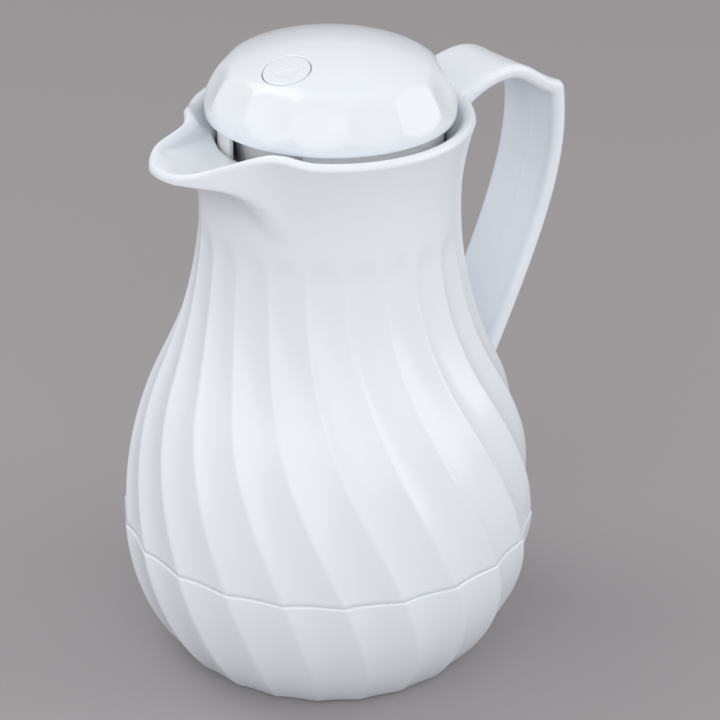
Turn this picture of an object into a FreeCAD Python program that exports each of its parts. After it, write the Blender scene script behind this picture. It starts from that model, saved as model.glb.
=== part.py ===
import FreeCAD, Part
import math
import os

from FreeCAD import Vector

# Insulated beverage server: a swirl-fluted pot with a spout and a strap handle, and a screw-in lid.
# Millimetres, +Z up. The origin is on the pot's axis, at the level that it stands on.
# The spout points to -X and the handle to +X.

# Pot body
BELLY_RADIUS = 72.9  # over the flute ridges, at the shell's open lower edge
SEAM_HEIGHT = 50.5  # where the shell meets the base cup
BELLY_ARC = 132.0  # radius of the belly's side curve
BASE_ARC = 71.0  # radius of the base cup's side curve
BASE_PROUD = 0.5  # the base cup stands out past the shell at the seam
NECK_RADIUS = 44.7  # narrowest place
NECK_HEIGHT = 172.0
COLLAR_HEIGHT = 31.0  # narrowest place to the rim
COLLAR_FLARE = 4.9  # the rim stands out past the narrowest place
RIM_ROUND = 1.4
SHELL_WALL = 2.6
COLLAR_WALL = 3.2
BASE_FLOOR = 3.0

# Swirl flutes
FLUTES = 22
FLUTE_DEPTH = 1.7
FOOT_FLUTE_DEPTH = 0.9
FLUTE_END_DROP = 8.0  # the flutes end this far below the narrowest place
FLUTE_END_STEP = 0.05  # the neck stands this far out past the ends of the ridges
SWIRL_DEG = 40.0  # turn of a ridge between the foot and its top end
RIDGE_PHASE_DEG = -4.0
STEEP_SIDE = 1.65  # pull of a flute's steep side, in flute depths
GENTLE_SIDE = 0.85
BODY_RINGS = 11
RING_CROWDING = 1.6  # the body's rings crowd towards the flutes' top ends
FLUTE_END_POWER = 6  # how suddenly a flute runs out
BASE_RINGS = 8

# Foot and base joint
FOOT_RING = 9.0  # width of the ring that stands on the table
FOOT_RECESS = 1.2
LAP_HEIGHT = 6.0  # rib of the base cup inside the shell
LAP_ROOT = 3.0
LAP_WALL = 2.0
LAP_FIT = 0.1
FILL_HOLE_RADIUS = 7.0
PLUG_FLANGE = 2.5
PLUG_CLEAR = 0.2  # the plug's flange keeps this far off the table
PLUG_FIT = 0.05

# Spout
SPOUT_REACH = 71.0  # axis to the tip
SPOUT_TIP_RADIUS = 16.5
SPOUT_HALF_ANGLE_DEG = 17.0
SPOUT_TIP_DROP = 5.2  # top of the lip at the tip, below the rim
SPOUT_LIP = 3.0  # depth of the lip at the tip
SPOUT_HUMP = 1.0  # the walls rise this far over the rim
SPOUT_HUMP_REACH = 41.0
SPOUT_HUMP_FALL = 6.0  # length of the fall from the hump to the rim
SPOUT_COVE = 26.7  # radius of the hollow under the spout
SPOUT_COVE_DEG = 50.0
SPOUT_COVE_INSET = 3.5  # tip to the start of the hollow
SPOUT_WALL = 3.0
SPOUT_RAMP_SAG = 1.0  # the channel's floor hangs this far below a straight slope

# Handle, on the middle line of its strap
HANDLE_WIDTH = 28.0
HANDLE_THICKNESS = 5.0
HANDLE_ROUND = 1.9
HANDLE_CORNER_ROUND = 1.2
HANDLE_ROOT_DROP = 9.5  # upper root, below the rim
HANDLE_CROWN_REACH = 67.5
HANDLE_CROWN_RISE = 1.2  # crown of the arch, over the rim
HANDLE_CORNER_REACH = 92.8
HANDLE_CORNER_DROP = 9.6  # corner behind the thumb saddle, below the rim
HANDLE_BACK_BULGE = 4.3  # the grip swells past the corner
HANDLE_FOOT_HEIGHT = 90.0  # lower root
ARCH_START_PULL = 0.18  # pulls of the strap's curves, as shares of each curve's run and rise
ARCH_START_RISE = 0.56
ARCH_END_PULL = 0.42
SADDLE_START_PULL = 0.4
SADDLE_END_PULL = 0.43
SADDLE_END_RISE = 0.55
GRIP_START_FALL = 0.27
GRIP_END_PULL = 0.19
GRIP_END_FALL = 0.5
STRAP_SAMPLES = 6

# Mouth, liner and insulation
BASIN_DROP = 23.0  # floor round the mouth, below the rim
BASIN_RADIUS = 39.0
FUNNEL_DROP = 9.0  # foot of the funnel over the basin, below the rim
LEDGE_THICKNESS = 3.0
MOUTH_RADIUS = 33.0  # bore of the liner's neck
LINER_WALL = 2.0
MOUTH_GAP = 0.3  # liner's neck to the ledge's bore
LINER_FLANGE = 3.3
SEAL_THICKNESS = 1.5
INSULATION = 9.0
FLOOR_INSULATION = 7.0
FOAM_GAP = 0.25

# Lid
DOME_RADIUS = 42.5
DOME_RIM_DROP = 1.0  # lower edge of the dome, below the collar's rim
DOME_RISE = 25.5  # crown of the dome over its lower edge
DOME_CROWN_ARC = 85.0
DOME_SHOULDER_ARC = 18.0
DOME_WALL = 3.0
GRIPS = 14
GRIP_ARC = 70.0
GRIP_DEPTH = 1.5
GRIP_RISE = 10.0  # middle of a grip over the dome's lower edge
GRIP_TILT_DEG = 28.0
GRIP_PHASE_DEG = -4.4
MARKER_RADIUS = 8.0
MARKER_THICKNESS = 1.6
MARKER_FIT = 0.3
MARKER_SEAT_GAP = 0.1
MARKER_REACH = 24.3
MARKER_ANGLE_DEG = 194.6
MARKER_RIB = 0.6
MARKER_RIB_HEIGHT = 0.25
MARKER_RIB_LENGTH = 9.0
MARKER_RIB_ANGLE_DEG = -25.0

# Stopper and its quick thread
STOPPER_DEPTH = 15.0  # below the basin's floor
STOPPER_CHAMFER = 2.0
STOPPER_WALL = 2.2
STOPPER_FLANGE_THICKNESS = 3.0
STOPPER_WAIST = 1.6  # height of the throat above the flange
STOPPER_WAIST_INSET = 3.0
STOPPER_BOWL = 2.5  # the bowl widens this far from the throat up
STOPPER_SHOULDER = 2.0  # height of the bowl's shoulder under the dome's edge
STOPPER_SKIRT = 12.0  # the skirt round the bowl hangs this far below the dome's edge
STOPPER_SKIRT_WALL = 1.2
STOPPER_SKIRT_GAP = 0.7  # from the basin's wall
POUR_WINDOW_DEG = 47.0  # width of the skirt's pouring window, which lies under the marker
STOPPER_TOP_FIT = 0.1
STOPPER_TOP_LAP = 3.0
GASKET_WIDTH = 2.5
GASKET_THICKNESS = 2.5
GASKET_FIT = 0.1
GASKET_BORE_INSET = 1.1  # the gasket reaches this far inside the mouth
SEAT_GAP = 0.2
THREAD_STARTS = 3
THREAD_LEAD = 48.0
THREAD_ARC_DEG = 30.0
THREAD_DEPTH = 2.2
THREAD_LUG = 3.2  # height of a lug
THREAD_GAP = 0.4
THREAD_SIDE_GAP = 0.5
THREAD_ROOT = 0.6  # a lug's root runs this far into its wall
THREAD_STEPS = 6

# Levels and radii that several pieces share
FULL_TURN = 360.0
CUT_MARGIN = 5.0
NEAR = 0.01  # two places closer than this count as one
RIM_HEIGHT = NECK_HEIGHT + COLLAR_HEIGHT
RIM_RADIUS = NECK_RADIUS + COLLAR_FLARE
FLUTE_TOP = NECK_HEIGHT - FLUTE_END_DROP
BASIN_FLOOR = RIM_HEIGHT - BASIN_DROP
FUNNEL_FOOT = RIM_HEIGHT - FUNNEL_DROP
SPOUT_TIP_TOP = RIM_HEIGHT - SPOUT_TIP_DROP
LEDGE_UNDER = BASIN_FLOOR - LEDGE_THICKNESS
SHELL_OFFSET = FLUTE_DEPTH + SHELL_WALL
LINER_OFFSET = SHELL_OFFSET + INSULATION
LINER_NECK = MOUTH_RADIUS + LINER_WALL
LEDGE_BORE = LINER_NECK + MOUTH_GAP
FLANGE_TOP = LEDGE_UNDER - SEAL_THICKNESS
FLANGE_UNDER = FLANGE_TOP - LINER_WALL
LINER_BOTTOM = BASE_FLOOR + FLOOR_INSULATION
DOME_RIM = RIM_HEIGHT - DOME_RIM_DROP
DOME_TOP = DOME_RIM + DOME_RISE
GASKET_BORE = MOUTH_RADIUS - GASKET_BORE_INSET
GASKET_UNDER = BASIN_FLOOR + SEAT_GAP
STOPPER_FLANGE_UNDER = GASKET_UNDER + GASKET_THICKNESS + GASKET_FIT
STOPPER_FLANGE_RADIUS = GASKET_BORE + GASKET_WIDTH + GASKET_FIT
STOPPER_RADIUS = MOUTH_RADIUS - THREAD_SIDE_GAP - THREAD_DEPTH
THREAD_RISE = THREAD_LEAD * THREAD_ARC_DEG / FULL_TURN
LINER_LUG_BOTTOM = BASIN_FLOOR - THREAD_GAP - THREAD_RISE - THREAD_LUG
STOPPER_LUG_BOTTOM = LINER_LUG_BOTTOM - THREAD_GAP - THREAD_LUG


def polar(radius, angle, height):
    """Point at a radius and an angle about the pot's axis."""
    return Vector(radius * math.cos(angle), radius * math.sin(angle), height)


def half_outline(start, *steps):
    """Wire in the XZ plane. A step is a point for a line, or a middle point and an end for an arc."""
    edges = []
    here = Vector(start[0], 0, start[1])
    for step in steps:
        if isinstance(step[0], tuple):
            middle = Vector(step[0][0], 0, step[0][1])
            end = Vector(step[1][0], 0, step[1][1])
            edges.append(Part.Arc(here, middle, end).toShape())
        else:
            end = Vector(step[0], 0, step[1])
            edges.append(Part.makeLine(here, end))
        here = end
    return Part.Wire(edges)


def turned(wire):
    """Solid of revolution of a closed half outline about the pot's axis."""
    return Part.Face(wire).revolve(Vector(0, 0, 0), Vector(0, 0, 1), FULL_TURN)


def ring(inner, outer, bottom, top):
    """Plain ring on the pot's axis."""
    return turned(half_outline((inner, bottom), (outer, bottom), (outer, top), (inner, top), (inner, bottom)))


def disc(radius, bottom, top):
    """Plain disc on the pot's axis."""
    return Part.makeCylinder(radius, top - bottom, Vector(0, 0, bottom))


class FlaskCurve:
    """Half outline of a bottle: a belly arc, widest at the seam, tangent to a neck arc, upright at the neck."""

    def __init__(self, belly_radius, belly_arc, neck_radius):
        self.belly_radius = belly_radius
        self.belly_arc = belly_arc
        self.neck_radius = neck_radius
        self.belly_x = belly_radius - belly_arc
        rise = NECK_HEIGHT - SEAM_HEIGHT
        reach = neck_radius - self.belly_x
        self.neck_arc = (reach ** 2 + rise ** 2 - belly_arc ** 2) / (2 * (belly_arc - reach))
        self.join = SEAM_HEIGHT + belly_arc * rise / (belly_arc + self.neck_arc)

    def grown(self, amount):
        """The same curve, set off outwards."""
        return FlaskCurve(self.belly_radius + amount, self.belly_arc + amount, self.neck_radius + amount)

    def radius_at(self, height):
        if height < self.join:
            return self.belly_x + math.sqrt(self.belly_arc ** 2 - (height - SEAM_HEIGHT) ** 2)
        drop = max(NECK_HEIGHT - height, 0)
        return self.neck_radius + self.neck_arc - math.sqrt(self.neck_arc ** 2 - drop ** 2)

    def point(self, height):
        return (self.radius_at(height), height)

    def arc(self, start, end):
        """Arc step between two heights on the same arc."""
        return (self.point((start + end) / 2), self.point(end))

    def up(self, top):
        """Steps from the seam up to a height at the neck."""
        steps = [self.arc(SEAM_HEIGHT, self.join), self.arc(self.join, min(top, NECK_HEIGHT))]
        if top > NECK_HEIGHT:
            steps.append(self.point(top))
        return steps

    def down(self, top):
        """Steps from a height at the neck down to the seam."""
        steps = [self.arc(min(top, NECK_HEIGHT), self.join), self.arc(self.join, SEAM_HEIGHT)]
        if top > NECK_HEIGHT:
            steps.insert(0, self.point(NECK_HEIGHT))
        return steps


OUTSIDE = FlaskCurve(BELLY_RADIUS, BELLY_ARC, NECK_RADIUS)
INSIDE = OUTSIDE.grown(-SHELL_OFFSET)
LINER_OUT = FlaskCurve(BELLY_RADIUS - LINER_OFFSET, BELLY_ARC - LINER_OFFSET, LINER_NECK)
LINER_IN = LINER_OUT.grown(-LINER_WALL)


def base_radius(height, seam_radius):
    """Radius of the base cup's side curve, for the radius that the curve has at the seam."""
    centre = BELLY_RADIUS + BASE_PROUD - BASE_ARC
    return centre + math.sqrt((seam_radius - centre) ** 2 - (SEAM_HEIGHT - height) ** 2)


def base_arc(start, end, seam_radius):
    """Arc step of the base cup's side curve."""
    middle = (start + end) / 2
    return ((base_radius(middle, seam_radius), middle), (base_radius(end, seam_radius), end))


def collar_radius(height, wall=0.0):
    """Radius of the collar's flare, an arc that is upright at the neck and meets the rim, or of its inside."""
    arc = (COLLAR_HEIGHT ** 2 + COLLAR_FLARE ** 2) / (2 * COLLAR_FLARE)
    return NECK_RADIUS + arc - math.sqrt((arc + wall) ** 2 - (height - NECK_HEIGHT) ** 2)


def collar_arc(start, end):
    """Arc step of the collar's flare."""
    middle = (start + end) / 2
    return ((collar_radius(middle), middle), (collar_radius(end), end))


def rounded(corner_r, corner_z, turn):
    """Middle of the quarter round at the rim: turn is -1 for its outside and 1 for its inside."""
    slack = RIM_ROUND * (1 - math.cos(math.pi / 4))
    return (corner_r + turn * slack, corner_z - slack)


def swirl_angle(height):
    """A ridge's turn: half a cosine wave from the foot to the flutes' top ends."""
    turn = SWIRL_DEG / 2 * math.cos(math.pi * height / FLUTE_TOP)
    return math.radians(RIDGE_PHASE_DEG + turn)


def fluted_ring(height, ridge_radius, depth):
    """Closed ring of flutes. Each is a cubic curve between two ridges, steeper on one side."""
    pitch = 2 * math.pi / FLUTES
    bulge = math.hypot(1, 4 / 3 * math.tan(pitch / 4))
    edges = []
    for flute in range(FLUTES):
        start = swirl_angle(height) + flute * pitch
        curve = Part.BezierCurve()
        curve.setPoles([
            polar(ridge_radius, start, height),
            polar(ridge_radius * bulge - STEEP_SIDE * depth, start + pitch / 3, height),
            polar(ridge_radius * bulge - GENTLE_SIDE * depth, start + 2 * pitch / 3, height),
            polar(ridge_radius, start + pitch, height),
        ])
        edges.append(curve.toShape())
    return Part.Wire(edges)


def fluted_body():
    """The shell's fluted part as a full solid: the flutes run out in rounded ends under the neck."""
    rings = []
    for number in range(BODY_RINGS + 1):
        share = 1 - (1 - number / BODY_RINGS) ** RING_CROWDING
        height = SEAM_HEIGHT + share * (FLUTE_TOP - SEAM_HEIGHT)
        depth = FLUTE_DEPTH * math.sqrt(1 - share ** FLUTE_END_POWER)
        rings.append(fluted_ring(height, OUTSIDE.radius_at(height) - FLUTE_END_STEP, depth))
    return Part.makeLoft(rings, True, False)


def fluted_base():
    """The base cup's outside as a full solid."""
    rings = []
    for number in range(BASE_RINGS + 1):
        share = number / BASE_RINGS
        height = share * SEAM_HEIGHT
        depth = FOOT_FLUTE_DEPTH + (FLUTE_DEPTH - FOOT_FLUTE_DEPTH) * math.sqrt(share)
        rings.append(fluted_ring(height, base_radius(height, BELLY_RADIUS + BASE_PROUD), depth))
    return Part.makeLoft(rings, True, False)


def neck_and_collar():
    """Neck and flared collar as a full solid, rooted inside the fluted part."""
    root = FLUTE_TOP - FLUTE_END_DROP
    core = OUTSIDE.radius_at(FLUTE_TOP) - SHELL_OFFSET / 2
    edge = RIM_HEIGHT - RIM_ROUND
    rim = collar_radius(edge)
    return turned(half_outline(
        (0, root),
        (core, root),
        (core, FLUTE_TOP),
        OUTSIDE.point(FLUTE_TOP),
        OUTSIDE.arc(FLUTE_TOP, NECK_HEIGHT),
        collar_arc(NECK_HEIGHT, edge),
        (rounded(rim, RIM_HEIGHT, -1), (rim - RIM_ROUND, RIM_HEIGHT)),
        (0, RIM_HEIGHT),
        (0, root),
    ))


def basin():
    """The room inside the collar: a funnel that drains into a round basin, with a floor round the mouth."""
    edge = RIM_HEIGHT - RIM_ROUND
    rim = collar_radius(edge, COLLAR_WALL)
    top = RIM_HEIGHT + SPOUT_HUMP + CUT_MARGIN
    return turned(half_outline(
        (0, BASIN_FLOOR),
        (BASIN_RADIUS, BASIN_FLOOR),
        (BASIN_RADIUS, FUNNEL_FOOT),
        (rim, edge),
        (rounded(rim, RIM_HEIGHT, 1), (rim + RIM_ROUND, RIM_HEIGHT)),
        (rim, RIM_HEIGHT),
        (rim, top),
        (0, top),
        (0, BASIN_FLOOR),
    ))


def shell_cavity():
    """The room inside the shell, from its open lower edge up to the ledge under the mouth."""
    below = SEAM_HEIGHT - CUT_MARGIN
    return turned(half_outline(
        (0, below),
        (INSIDE.belly_radius, below),
        (INSIDE.belly_radius, SEAM_HEIGHT),
        *INSIDE.up(LEDGE_UNDER),
        (0, LEDGE_UNDER),
        (0, below),
    ))


def spout_plan(inset, bottom, top):
    """Upright prism on the spout's plan: a round tip and two straight sides that spread to the collar."""
    lean = math.radians(SPOUT_HALF_ANGLE_DEG)
    radius = SPOUT_TIP_RADIUS - inset
    centre = SPOUT_TIP_RADIUS - SPOUT_REACH
    touch_x = centre - radius * math.sin(lean)
    touch_y = radius * math.cos(lean)
    root_x = -NECK_RADIUS / 2
    root_y = touch_y + (root_x - touch_x) * math.tan(lean)
    left = Vector(touch_x, touch_y, bottom)
    right = Vector(touch_x, -touch_y, bottom)
    tip = Part.Arc(left, Vector(centre - radius, 0, bottom), right).toShape()
    sides = Part.makePolygon([right, Vector(root_x, -root_y, bottom), Vector(root_x, root_y, bottom), left])
    face = Part.Face(Part.Wire([tip] + sides.Edges))
    return face.extrude(Vector(0, 0, top - bottom))


def slab(wire):
    """Slab across the pot on an outline in its middle plane."""
    half_width = RIM_RADIUS + CUT_MARGIN
    return Part.Face(wire).extrude(Vector(0, 2 * half_width, 0)).translated(Vector(0, -half_width, 0))


def spout_side():
    """Side view of the spout: a hollow underside, and a lip that climbs to a hump beside the collar."""
    tip_under = SPOUT_TIP_TOP - SPOUT_LIP
    sweep = math.radians(SPOUT_COVE_DEG)
    front = -SPOUT_REACH - CUT_MARGIN
    back = -NECK_RADIUS / 2
    cove_x = -SPOUT_REACH + SPOUT_COVE_INSET

    def cove(angle):
        return (cove_x + SPOUT_COVE * math.sin(angle), tip_under - SPOUT_COVE * (1 - math.cos(angle)))

    end_x, end_z = cove(sweep)
    back_z = end_z - (back - end_x) * math.tan(sweep)
    low = RIM_HEIGHT - SPOUT_HUMP
    return slab(half_outline(
        (front, tip_under),
        (cove_x, tip_under),
        (cove(sweep / 2), (end_x, end_z)),
        (back, back_z),
        (back, low),
        (SPOUT_HUMP_FALL - SPOUT_HUMP_REACH, low),
        (-SPOUT_HUMP_REACH, RIM_HEIGHT + SPOUT_HUMP),
        (-SPOUT_REACH, SPOUT_TIP_TOP),
        (front, SPOUT_TIP_TOP),
        (front, tip_under),
    ))


def spout_body():
    """The spout as a full solid."""
    return spout_plan(0, FLUTE_TOP, RIM_HEIGHT + SPOUT_HUMP + CUT_MARGIN).common(spout_side())


def spout_channel():
    """The hollow of the spout: a ramp that runs back down to the foot of the funnel, open above."""
    top = RIM_HEIGHT + SPOUT_HUMP + CUT_MARGIN
    back = -NECK_RADIUS / 2
    sag = (-(SPOUT_REACH + BASIN_RADIUS) / 2, (SPOUT_TIP_TOP + FUNNEL_FOOT) / 2 - SPOUT_RAMP_SAG)
    ramp = slab(half_outline(
        (-SPOUT_REACH, SPOUT_TIP_TOP),
        (sag, (-BASIN_RADIUS, FUNNEL_FOOT)),
        (back, FUNNEL_FOOT),
        (back, top),
        (-SPOUT_REACH, top),
        (-SPOUT_REACH, SPOUT_TIP_TOP),
    ))
    return spout_plan(SPOUT_WALL, BASIN_FLOOR, top).common(ramp)


def bezier(poles, share):
    """Point and unit run of a cubic curve in the XZ plane."""
    rest = 1 - share
    weights = (rest ** 3, 3 * rest ** 2 * share, 3 * rest * share ** 2, share ** 3)
    slopes = (-rest ** 2, rest ** 2 - 2 * rest * share, 2 * rest * share - share ** 2, share ** 2)
    at = Vector(0, 0, 0)
    run = Vector(0, 0, 0)
    for (x, z), weight, slope in zip(poles, weights, slopes):
        at += Vector(x, 0, z) * weight
        run += Vector(x, 0, z) * slope
    return at, run.normalize()


def strap_side(curves, offset, first=None, last=None):
    """Edge beside a chain of cubic curves, at an offset from them, with its ends moved to given points."""
    points = []
    for number, poles in enumerate(curves):
        for index in range(0 if number == 0 else 1, STRAP_SAMPLES + 1):
            at, run = bezier(poles, index / STRAP_SAMPLES)
            points.append(at + Vector(-run.z, 0, run.x) * offset)
    if first:
        points[0] = first
    if last:
        points[-1] = last
    curve = Part.BSplineCurve()
    curve.interpolate(points)
    return curve.toShape()


def handle_lines():
    """Middle line of the strap: the arch and the thumb saddle, and then the grip down to the belly."""
    root = (RIM_RADIUS - COLLAR_WALL - HANDLE_THICKNESS / 2, RIM_HEIGHT - HANDLE_ROOT_DROP)
    crown = (HANDLE_CROWN_REACH, RIM_HEIGHT + HANDLE_CROWN_RISE)
    corner = (HANDLE_CORNER_REACH, RIM_HEIGHT - HANDLE_CORNER_DROP)
    foot = (INSIDE.radius_at(HANDLE_FOOT_HEIGHT) - SHELL_WALL, HANDLE_FOOT_HEIGHT)
    arch_run = crown[0] - root[0]
    arch_rise = crown[1] - root[1]
    saddle_run = corner[0] - crown[0]
    saddle_fall = crown[1] - corner[1]
    grip_run = corner[0] - foot[0]
    grip_fall = corner[1] - foot[1]
    arch_start = (root[0] + ARCH_START_PULL * arch_run, root[1] + ARCH_START_RISE * arch_rise)
    arch_end = (crown[0] - ARCH_END_PULL * arch_run, crown[1])
    saddle_start = (crown[0] + SADDLE_START_PULL * saddle_run, crown[1])
    saddle_end = (corner[0] - SADDLE_END_PULL * saddle_run, corner[1] + SADDLE_END_RISE * saddle_fall)
    grip_start = (corner[0] + HANDLE_BACK_BULGE, corner[1] - GRIP_START_FALL * grip_fall)
    grip_end = (corner[0] - GRIP_END_PULL * grip_run, corner[1] - GRIP_END_FALL * grip_fall)
    arch = [root, arch_start, arch_end, crown]
    saddle = [crown, saddle_start, saddle_end, corner]
    grip = [corner, grip_start, grip_end, foot]
    return [arch, saddle], [grip]


def handle_strap():
    """Strap handle with rounded edges and a crisp corner behind the thumb saddle."""
    top, back = handle_lines()
    half = HANDLE_THICKNESS / 2
    corner, run_in = bezier(top[-1], 1)
    run_out = bezier(back[0], 0)[1]
    mitre = Vector(-run_in.z - run_out.z, 0, run_in.x + run_out.x) * (half / (1 + run_in.dot(run_out)))
    outer_top = strap_side(top, half, last=corner + mitre)
    inner_top = strap_side(top, -half, last=corner - mitre)
    outer_back = strap_side(back, half, first=corner + mitre)
    inner_back = strap_side(back, -half, first=corner - mitre)
    root_end = Part.makeLine(outer_top.Vertexes[0].Point, inner_top.Vertexes[0].Point)
    foot_end = Part.makeLine(outer_back.Vertexes[-1].Point, inner_back.Vertexes[-1].Point)
    wire = Part.Wire(Part.__sortEdges__([outer_top, outer_back, foot_end, inner_back, inner_top, root_end]))
    strap = Part.Face(wire).extrude(Vector(0, HANDLE_WIDTH, 0)).translated(Vector(0, -HANDLE_WIDTH / 2, 0))
    corners = [edge for edge in strap.Edges if is_across(edge, corner)]
    strap = strap.makeFillet(HANDLE_CORNER_ROUND, corners)
    sides = [edge for edge in strap.Edges if is_strap_side(edge)]
    return strap.makeFillet(HANDLE_ROUND, sides)


def is_across(edge, corner):
    """An edge that crosses the strap at its corner."""
    middle = edge.CenterOfMass
    return abs(middle.y) < NEAR and (middle - corner).Length < HANDLE_THICKNESS


def is_strap_side(edge):
    """An edge that runs along a side of the strap."""
    box = edge.BoundBox
    on_side = abs(abs(box.Center.y) - HANDLE_WIDTH / 2) < NEAR and box.YLength < NEAR
    end_line = edge.Curve.TypeId == "Part::GeomLine"
    return on_side and not end_line


def outer_shell():
    """Fluted shell with its neck, collar, spout and handle, moulded as one piece that is open below."""
    body = fluted_body().fuse([neck_and_collar(), spout_body(), handle_strap()])
    bore = disc(LEDGE_BORE, FLANGE_TOP, BASIN_FLOOR + CUT_MARGIN)
    return body.cut([shell_cavity(), basin(), spout_channel(), bore])


def lap_radius():
    """Outside of the base cup's rib, which fits inside the shell."""
    return INSIDE.radius_at(SEAM_HEIGHT + LAP_HEIGHT) - LAP_FIT


def base_cup():
    """Fluted base with a foot ring, a fill hole and a rib that laps inside the shell."""
    inner = BELLY_RADIUS - SHELL_OFFSET
    foot = base_radius(0, BELLY_RADIUS + BASE_PROUD) - FOOT_RING
    hollow = turned(half_outline(
        (0, BASE_FLOOR),
        (base_radius(BASE_FLOOR, inner), BASE_FLOOR),
        base_arc(BASE_FLOOR, SEAM_HEIGHT, inner),
        (0, SEAM_HEIGHT),
        (0, BASE_FLOOR),
    ))
    lap = lap_radius()
    rib = turned(half_outline(
        (lap - LAP_WALL, SEAM_HEIGHT - LAP_ROOT),
        (inner + SHELL_WALL / 2, SEAM_HEIGHT - LAP_ROOT),
        (inner + SHELL_WALL / 2, SEAM_HEIGHT),
        (lap, SEAM_HEIGHT),
        (lap, SEAM_HEIGHT + LAP_HEIGHT),
        (lap - LAP_WALL, SEAM_HEIGHT + LAP_HEIGHT),
        (lap - LAP_WALL, SEAM_HEIGHT - LAP_ROOT),
    ))
    recess = disc(foot, 0, FOOT_RECESS)
    hole = disc(FILL_HOLE_RADIUS, 0, BASE_FLOOR)
    return fluted_base().cut([hollow, recess, hole]).fuse(rib)


def fill_plug():
    """Plug of the hole that the foam is poured through, with a flange inside the foot ring."""
    flange = disc(FILL_HOLE_RADIUS + PLUG_FLANGE, PLUG_CLEAR, FOOT_RECESS)
    return flange.fuse(disc(FILL_HOLE_RADIUS - PLUG_FIT, FOOT_RECESS, BASE_FLOOR))


def thread_lugs(root, tip, bottom):
    """One lug for each start of the quick thread, each a short run of a helix."""
    lugs = []
    for start in range(THREAD_STARTS):
        sections = []
        for step in range(THREAD_STEPS + 1):
            share = step / THREAD_STEPS
            angle = math.radians(start * FULL_TURN / THREAD_STARTS + share * THREAD_ARC_DEG)
            low = bottom + share * THREAD_RISE
            corners = [(root, low), (tip, low), (tip, low + THREAD_LUG), (root, low + THREAD_LUG), (root, low)]
            sections.append(Part.makePolygon([polar(radius, angle, height) for radius, height in corners]))
        lugs.append(Part.makeLoft(sections, True, True))
    return lugs


def inner_liner():
    """Liner that holds the drink: a flask with a flange under the ledge and lugs for the stopper in its neck."""
    bottom = LINER_BOTTOM
    floor = LINER_BOTTOM + LINER_WALL
    body = turned(half_outline(
        (0, bottom),
        (base_radius(bottom, LINER_OUT.belly_radius), bottom),
        base_arc(bottom, SEAM_HEIGHT, LINER_OUT.belly_radius),
        *LINER_OUT.up(FLANGE_UNDER),
        (LINER_NECK + LINER_FLANGE, FLANGE_UNDER),
        (LINER_NECK + LINER_FLANGE, FLANGE_TOP),
        (LINER_NECK, FLANGE_TOP),
        (LINER_NECK, BASIN_FLOOR),
        (MOUTH_RADIUS, BASIN_FLOOR),
        *LINER_IN.down(BASIN_FLOOR),
        base_arc(SEAM_HEIGHT, floor, LINER_IN.belly_radius),
        (0, floor),
        (0, bottom),
    ))
    lugs = thread_lugs(MOUTH_RADIUS + THREAD_ROOT, STOPPER_RADIUS + THREAD_SIDE_GAP, LINER_LUG_BOTTOM)
    return body.fuse(lugs)


def mouth_seal():
    """Flat seal between the liner's flange and the ledge of the shell."""
    return ring(LEDGE_BORE, LINER_NECK + LINER_FLANGE, FLANGE_TOP, LEDGE_UNDER)


def insulation_foam():
    """Foam that fills the room between the liner, the shell and the base cup."""
    outside = INSIDE.grown(-FOAM_GAP)
    inside = LINER_OUT.grown(FOAM_GAP)
    top = FLANGE_UNDER - FOAM_GAP
    low = BASE_FLOOR + FOAM_GAP
    high = LINER_BOTTOM - FOAM_GAP
    foam = turned(half_outline(
        (0, low),
        (base_radius(low, outside.belly_radius), low),
        base_arc(low, SEAM_HEIGHT, outside.belly_radius),
        *outside.up(top),
        inside.point(top),
        *inside.down(top),
        base_arc(SEAM_HEIGHT, high, inside.belly_radius),
        (0, high),
        (0, low),
    ))
    rib_inside = lap_radius() - LAP_WALL - FOAM_GAP
    rib_low = SEAM_HEIGHT - LAP_ROOT - FOAM_GAP
    rib_high = SEAM_HEIGHT + LAP_HEIGHT + FOAM_GAP
    return foam.cut(ring(rib_inside, BELLY_RADIUS, rib_low, rib_high))


def dome_steps(inset, bottom):
    """Steps of the dome's half outline from its side up to its crown: an upright side, a shoulder and a crown."""
    centre = DOME_TOP - DOME_CROWN_ARC
    shoulder_r = DOME_RADIUS - DOME_SHOULDER_ARC
    reach = DOME_CROWN_ARC - DOME_SHOULDER_ARC
    shoulder_z = centre + math.sqrt(reach ** 2 - shoulder_r ** 2)
    lean = math.atan2(shoulder_r, shoulder_z - centre)
    bend = DOME_SHOULDER_ARC - inset
    crown = DOME_CROWN_ARC - inset
    half_bend = (math.pi / 2 + lean) / 2
    shoulder_middle = (shoulder_r + bend * math.sin(half_bend), shoulder_z + bend * math.cos(half_bend))
    crown_start = (crown * math.sin(lean), centre + crown * math.cos(lean))
    crown_middle = (crown * math.sin(lean / 2), centre + crown * math.cos(lean / 2))
    return [
        (DOME_RADIUS - inset, bottom),
        (DOME_RADIUS - inset, shoulder_z),
        (shoulder_middle, crown_start),
        (crown_middle, (0, DOME_TOP - inset)),
    ]


def dome_solid(inset, bottom):
    """The dome as a full solid, set in by an inset."""
    return turned(half_outline((0, bottom), *dome_steps(inset, bottom), (0, bottom)))


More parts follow.
